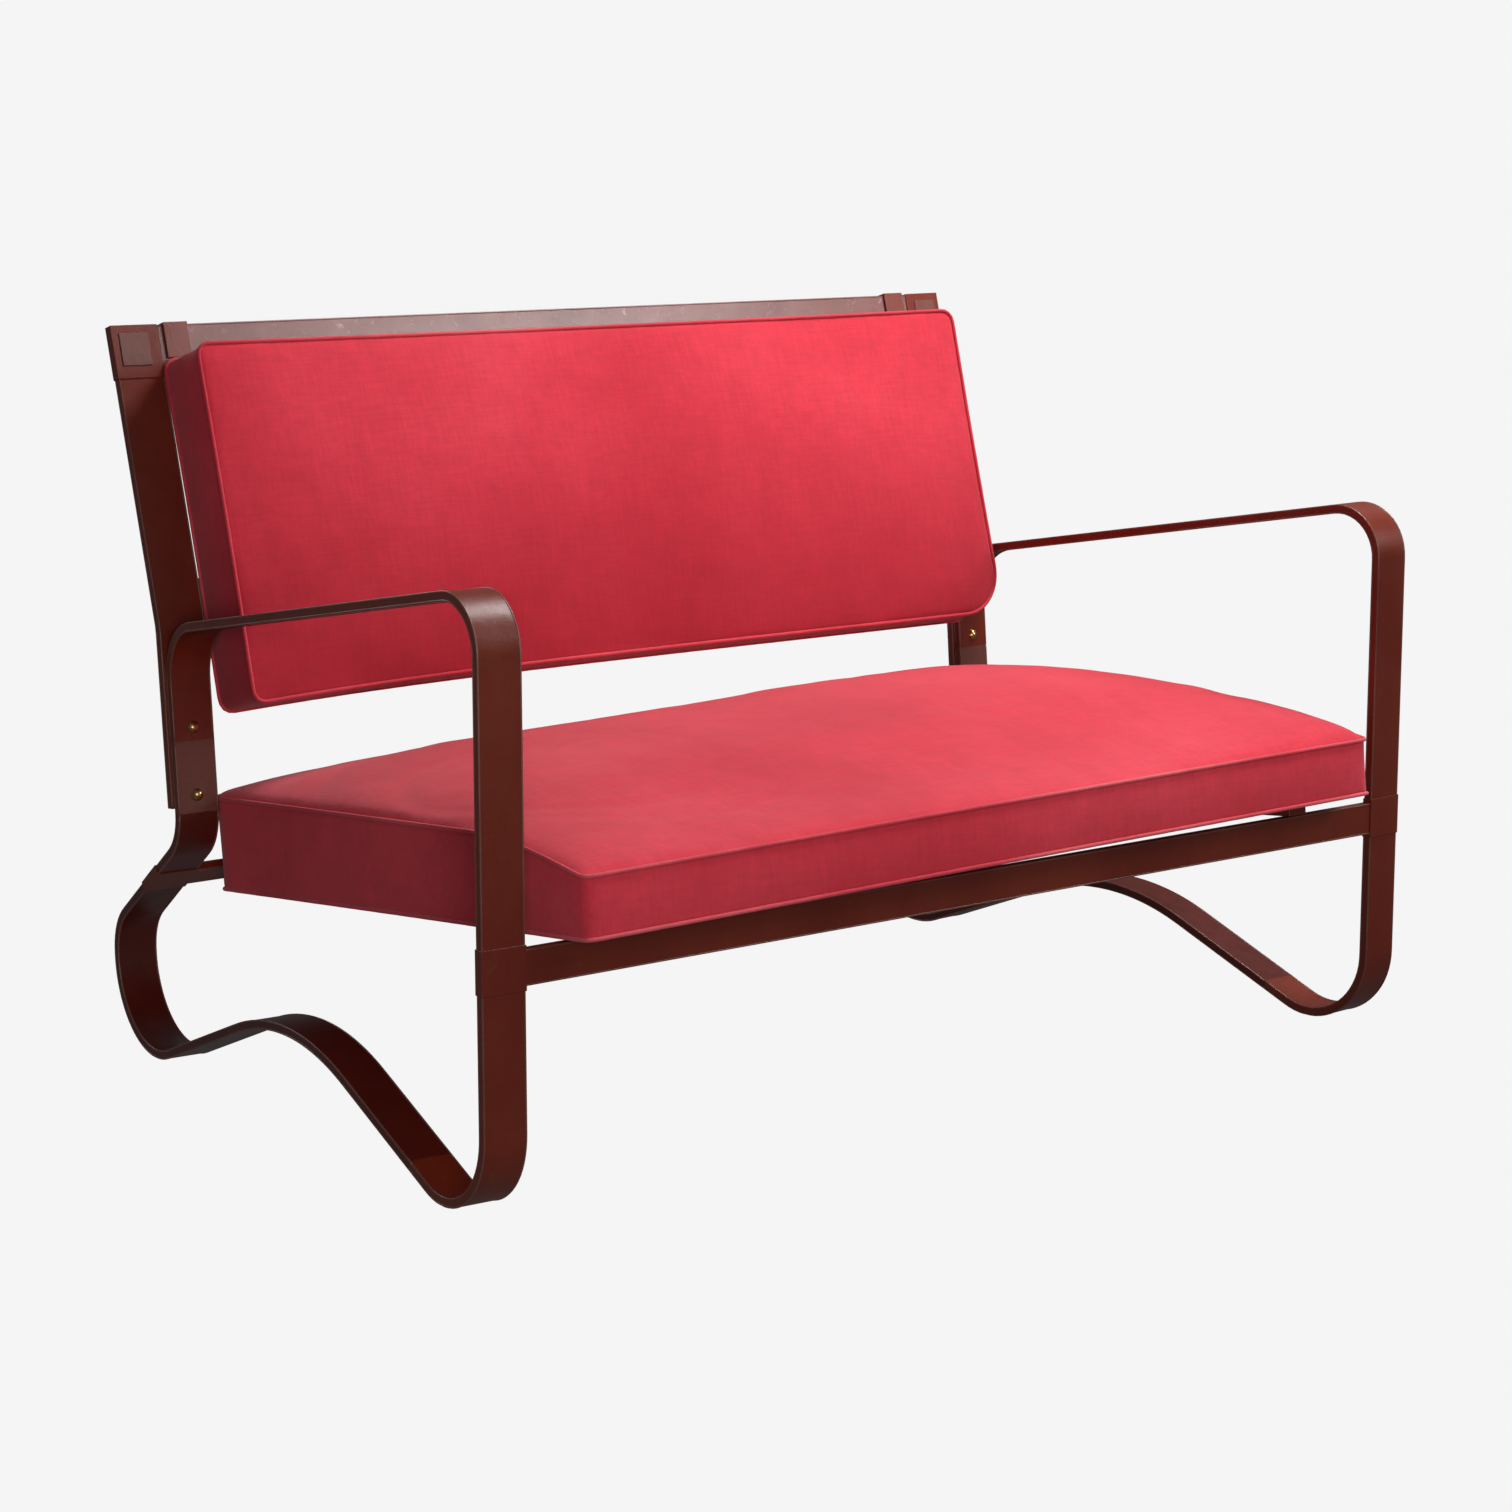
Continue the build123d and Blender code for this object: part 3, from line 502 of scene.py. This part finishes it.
class Cushion:
    """A boxed cushion made as one cloth: top panel, boxing and low panel, with its seams pinned.

    The top panel is the seat's top or the back's front; the low panel is the seat's bottom or
    the back's rear. place(x, y, h) turns width, length and height into a point, with h from 0
    at the low panel to 1 at the top panel. pull is how far the middle of each edge is drawn in.
    """

    def __init__(self, name, place, half_w, half_l, top_radii, low_radii, pull):
        radii = [max(a, b) for a, b in zip(top_radii, low_radii)]
        xs, ys = grid_line(half_w, radii, GRID), grid_line(half_l, radii, GRID)
        nx, ny = len(xs), len(ys)
        verts, faces = [], []

        def drawn_in(a, half_a, b, half_b, start):
            """a, one coordinate of a point, pulled in where the edge is far from its corners."""
            far = max(0.0, math.cos(math.pi * b / (2 * half_b)))
            return a - math.copysign(pull, a) * far * (abs(start) / half_a) ** 6

        def outline(x, y, h):
            rr = [low + (top - low) * h for top, low in zip(top_radii, low_radii)]
            x1, y1 = corner_map(x, y, half_w, half_l, rr)
            x1 = drawn_in(x1, half_w, y1, half_l, x)
            return x1, drawn_in(y1, half_l, x1, half_w, y)

        self.top = [[0] * ny for _ in xs]
        self.low = [[0] * ny for _ in xs]
        for grid, h in ((self.top, 1.0), (self.low, 0.0)):
            for i, x in enumerate(xs):
                for j, y in enumerate(ys):
                    grid[i][j] = len(verts)
                    verts.append(place(*outline(x, y, h), h))
        t, b = self.top, self.low
        for i in range(nx - 1):
            for j in range(ny - 1):
                faces.append((t[i][j], t[i + 1][j], t[i + 1][j + 1], t[i][j + 1]))
                faces.append((b[i][j], b[i][j + 1], b[i + 1][j + 1], b[i + 1][j]))
        ring = ([(i, 0) for i in range(nx)] + [(nx - 1, j) for j in range(1, ny)]
                + [(i, ny - 1) for i in range(nx - 2, -1, -1)]
                + [(0, j) for j in range(ny - 2, 0, -1)])
        self.top_ring = [self.top[i][j] for i, j in ring]
        self.low_ring = [self.low[i][j] for i, j in ring]
        rings = [self.low_ring]
        for k in range(1, BOXING_ROWS):
            h = k / BOXING_ROWS
            row = []
            for i, j in ring:
                row.append(len(verts))
                verts.append(place(*outline(xs[i], ys[j], h), h))
            rings.append(row)
        rings.append(self.top_ring)
        n = len(ring)
        for a, b in zip(rings, rings[1:]):
            for k in range(n):
                faces.append((a[k], a[(k + 1) % n], b[(k + 1) % n], b[k]))
        self.start = [Vector(v) for v in verts]
        self.boxing = {v for r in rings[1:-1] for v in r}
        self.me = bpy.data.meshes.new(name)
        self.me.from_pydata([tuple(v) for v in verts], [], faces)
        bm = bmesh.new()
        bm.from_mesh(self.me)
        bmesh.ops.recalc_face_normals(bm, faces=bm.faces)
        bm.to_mesh(self.me)
        bm.free()
        self.o = bpy.data.objects.new(name, self.me)
        bpy.context.scene.collection.objects.link(self.o)

    def blow(self):
        """Blow the cloth up between its pinned seams; returns how far each vertex moved."""
        pins = self.o.vertex_groups.new(name="seams")
        fixed = set(self.top_ring) | {v for row in self.low for v in row}
        pins.add(sorted(fixed), 1.0, "REPLACE")
        cl = self.o.modifiers.new("cloth", "CLOTH")
        s = cl.settings
        s.quality = 5
        s.mass = 0.25
        s.tension_stiffness = 12
        s.compression_stiffness = 12
        s.shear_stiffness = 4
        s.bending_stiffness = 1.5
        s.air_damping = 4
        s.use_pressure = True
        s.uniform_pressure_force = CLOTH_PRESSURE
        s.vertex_group_mass = pins.name
        s.effector_weights.gravity = 0
        cl.collision_settings.use_collision = False
        cl.collision_settings.use_self_collision = False
        cl.point_cache.frame_start, cl.point_cache.frame_end = 1, CLOTH_FRAMES
        sc = bpy.context.scene
        for f in range(1, CLOTH_FRAMES + 1):
            sc.frame_set(f)
        dg = bpy.context.evaluated_depsgraph_get()
        e = self.o.evaluated_get(dg)
        moved = [v.co - p for v, p in zip(e.data.vertices, self.start)]
        self.o.modifiers.remove(cl)
        sc.frame_set(1)
        return moved

    def crown(self, top_cap, side_cap, full=1.0, lean=None):
        """Take the blown shape, its highest rise set to top_cap and its sides' to side_cap.

        full below 1 makes the top rise faster from its seams, as a well stuffed cushion does.
        lean(point) makes the top fuller in one place than in another.
        """
        moved = self.blow()
        groups = ((top_cap, full, {v for row in self.top for v in row}),
                  (side_cap, 1.0, self.boxing))
        for cap, power, who in groups:
            most = max(moved[v].length for v in who) or 1.0
            for v in who:
                k = max(moved[v].length / most, 1e-6) ** (power - 1.0)
                if lean and v not in self.boxing:
                    k *= lean(self.start[v])
                self.me.vertices[v].co = self.start[v] + moved[v] * (k * cap / most)

    def inside(self):
        """The vertices of the top panel that are off its seam."""
        return {v for row in self.top for v in row} - set(self.top_ring)

    def ring_points(self, ring):
        return [self.me.vertices[v].co.copy() for v in ring]

    def done(self, look, body, slot, *stands_for):
        """Smooth and paint the cloth, and let it stand for its CAD nodes."""
        sub = self.o.modifiers.new("smooth", "SUBSURF")
        sub.levels = sub.render_levels = 1
        sharp = set(self.top_ring) | set(self.low_ring)
        crease = self.me.attributes.new("crease_edge", "FLOAT", "EDGE")
        for e in self.me.edges:
            if e.vertices[0] in sharp and e.vertices[1] in sharp:
                crease.data[e.index].value = SEAM_CREASE
        paint(self.o, look)
        self.me.shade_smooth()
        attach(self.o, body)
        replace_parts(self.o, *stands_for)


def piping(name, pts, lift, sideways, body, stands_for, stand=0.15):
    """A cord sewn in the seam, stand radii off it along lift; it gathers a little."""
    pts = walk(pts, PIPE_STEP, closed=True)
    n = len(pts)
    centre = sum(pts, Vector()) / n
    line, radii = [], []
    for i, p in enumerate(pts):
        along = (pts[(i + 2) % n] - pts[i - 2]).normalized()
        side = along.cross(lift).normalized()
        if side.dot(p - centre) < 0:
            side = -side
        line.append(p + lift * (PIPE_R * stand) + side * sideways)
        radii.append(PIPE_R * (1 + PIPE_GATHER * noise.noise(p * 90.0)))
    b = Build()
    b.tube(line, radii, closed=True, sides=10)
    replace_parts(b.piece(name, PIPING, body, "piping"), stands_for)


# ------------------------------------------------------------------ the two cushions
def bearer_direction():
    """Direction of the seat bearers, front to rear, read off the CAD bearer."""
    verts = sorted((v.co for v in NODES["left_seat_bearer"].data.vertices), key=lambda c: c.y)
    half = len(verts) // 2
    a = min(verts[:half], key=lambda c: c.z)
    b = min(verts[half:], key=lambda c: c.z)
    return Vector((0, b.y - a.y, b.z - a.z)).normalized()


def seat_height(v):
    """Thickness of the seat between its seams, at v behind its front edge."""
    if v < SEAT_ROLL:
        return SEAT_FRONT_H + (SEAT_MID_H - SEAT_FRONT_H) * math.sin(v / SEAT_ROLL * math.pi / 2)
    return (SEAT_MID_H
            + (SEAT_REAR_H - SEAT_MID_H) * (v - SEAT_ROLL) / (SEAT_LENGTH - SEAT_ROLL))


def make_seat():
    lo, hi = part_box("seat_cushion_cover")
    half_w, half_l = hi.x + SEAT_SQUEEZE, SEAT_LENGTH / 2
    along = bearer_direction()
    up = Vector((0, -along.z, along.y))
    # the bottom edge at the front: the lowest front point of the CAD cushion
    verts = [v.co for v in NODES["seat_cushion_cover"].data.vertices]
    front_low = min(verts, key=lambda c: c.dot(along) + c.dot(up) * 0.001)
    front = Vector((0, front_low.y, front_low.z))

    def place(x, y, h):
        v = y + half_l
        twist = SEAT_TWIST * (x / half_w) * (1 - v / SEAT_LENGTH)
        return front + Vector((x, 0, twist)) + along * v + up * (seat_height(v) * h)

    def creases(start, now):
        """Faint arcs pressed into the top by sitters, and its broad and small unevenness."""
        x, y = start.x, start.y - lo.y
        d = Vector()
        if (now - front).dot(up) > SEAT_FRONT_H * 0.9:
            for cx, cy, r, width, depth in SEAT_CREASES:
                q = math.hypot(x - cx, y - cy) - r
                d += up * (-depth * math.exp(-(q / width) ** 2))
            d += up * (0.0022 * noise.noise(Vector((x * 7, y * 7, 0.3))))
            d += up * (0.0009 * noise.noise(Vector((x * 30, y * 19, 4.0))))
        return d

    c = Cushion("seat_cushion", place, half_w, half_l, SEAT_TOP_RADII, SEAT_LOW_RADII, SEAT_PULL)
    c.crown(SEAT_CROWN, SEAT_BULGE, SEAT_FULL, lambda p: 1 + SEAT_LEAN * p.x / half_w)
    for v in c.inside():
        c.me.vertices[v].co += creases(c.start[v], c.me.vertices[v].co)
    seam, low = c.ring_points(c.top_ring), c.ring_points(c.low_ring)
    c.done(CRIMSON, "seat_cushion", "red_fabric", "seat_cushion_cover", "seat_cushion_filling",
           "seat_cushion_board")
    piping("seat_piping_round_top", seam, up, PIPE_R * 0.45, "seat_cushion", "seat_piping_top")
    piping("seat_piping_round_bottom", low, -up, PIPE_R * 0.2, "seat_cushion",
           "seat_piping_bottom")


def make_back():
    half_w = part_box("back_cushion_cover")[1].x
    up = Vector((0, math.sin(BACK_LEAN), math.cos(BACK_LEAN)))
    out = Vector((0, -math.cos(BACK_LEAN), math.sin(BACK_LEAN)))
    verts = [v.co for v in NODES["back_cushion_cover"].data.vertices]
    u = [v.dot(up) for v in verts]
    f = [v.dot(out) for v in verts]
    u0, u1, f0, f1 = min(u), max(u), min(f), max(f)
    half_l, mid = (u1 - u0) / 2, (u0 + u1) / 2

    def place(x, y, h):
        sag = BACK_SAG * max(0.0, -x / half_w) ** 3 * max(0.0, -y / half_l) ** 2
        return Vector((x, 0, 0)) + up * (mid + y - sag) + out * (f0 + (f1 - f0) * h)

    c = Cushion("back_cushion", place, half_w, half_l, BACK_FRONT_RADII, BACK_REAR_RADII,
                BACK_PULL)
    c.crown(BACK_CROWN, BACK_BULGE, BACK_FULL)
    for v in c.inside():
        s = c.start[v]
        c.me.vertices[v].co += out * (0.0020 * noise.noise(Vector((s.x * 5, 2.0, s.z * 6)))
                                      + 0.0008 * noise.noise(Vector((s.x * 22, 5.0, s.z * 26))))
    seam, low = c.ring_points(c.top_ring), c.ring_points(c.low_ring)
    c.done(BACK_CANVAS, "back_cushion", "red_fabric", "back_cushion_cover",
           "back_cushion_filling", "back_cushion_board")
    piping("back_piping_round_front", seam, out, PIPE_R * 0.45, "back_cushion",
           "back_piping_front")
    piping("back_piping_round_rear", low, out, PIPE_R * 0.3, "back_cushion",
           "back_piping_rear", stand=1.1)


# ------------------------------------------------------------------ stage
def plain_light(name):
    """A flat pale studio tone that only the camera sees."""
    m, t, _ = material(name, (0.9, 0.9, 0.9), 1.0)
    em = t.nodes.new("ShaderNodeEmission")
    em.inputs["Color"].default_value = (0.913, 0.913, 0.913, 1)
    t.links.new(em.outputs[0], t.nodes["Material Output"].inputs["Surface"])
    return m


def make_stage():
    """A floor and a dome that the light passes through."""
    bpy.ops.mesh.primitive_plane_add(size=60)
    floor = bpy.context.object
    floor.name = "floor"
    bpy.ops.mesh.primitive_uv_sphere_add(radius=29, segments=48, ring_count=24)
    dome = bpy.context.object
    dome.name = "backdrop"
    for o in (floor, dome):
        paint(o, plain_light(o.name + "_pale"))
        o.visible_diffuse = o.visible_glossy = o.visible_transmission = o.visible_shadow = False


def light(name, place, target, size, power):
    """A white area light at place, turned to target."""
    data = bpy.data.lights.new(name, "AREA")
    data.shape = "RECTANGLE"
    data.size, data.size_y = size
    data.energy = power
    o = bpy.data.objects.new(name, data)
    bpy.context.scene.collection.objects.link(o)
    o.location = place
    o.rotation_euler = (Vector(target) - Vector(place)).to_track_quat("-Z", "Y").to_euler()


def make_lights():
    light("key", (1.0, -0.34, 2.34), (0, 0.05, 0.4), (1.1, 0.7), 59)
    light("low_key", (1.7, -2.1, 1.75), (0, 0.2, 0.6), (1.1, 0.8), 24)
    light("left_fill", (-2.2, -3.3, 1.0), (0, 0, 0.4), (1.2, 1.2), 44)
    light("rear", (-0.6, 3.2, 2.3), (0, 0.3, 0.7), (2.2, 1.2), 26)
    world = bpy.data.worlds.new("studio")
    world.use_nodes = True
    background = world.node_tree.nodes["Background"]
    background.inputs["Color"].default_value = (1, 1, 1, 1)
    background.inputs["Strength"].default_value = 0.10
    bpy.context.scene.world = world
    bpy.context.scene.view_settings.view_transform = "Standard"


def make_camera():
    """The camera fitted to the photo."""
    data = bpy.data.cameras.new("camera")
    data.sensor_width = 36
    data.lens = 83.5
    cam = bpy.data.objects.new("camera", data)
    bpy.context.scene.collection.objects.link(cam)
    cam.location = (-2.3937, -3.0905, 1.0421)
    cam.rotation_euler = (math.radians(79.66), 0, math.radians(-37.82))
    bpy.context.scene.camera = cam


dress_nodes()
for side in SIDES:
    for part in ("armrest", "front_foot", "runner", "rear_leg", "rear_patch", "back_upright"):
        welts(side + "_" + part)
for rail in ("front_rail", "rear_rail", "top_rail", "lower_back_rail"):
    welts(rail)
make_seat()
make_back()
make_stage()
make_lights()
make_camera()
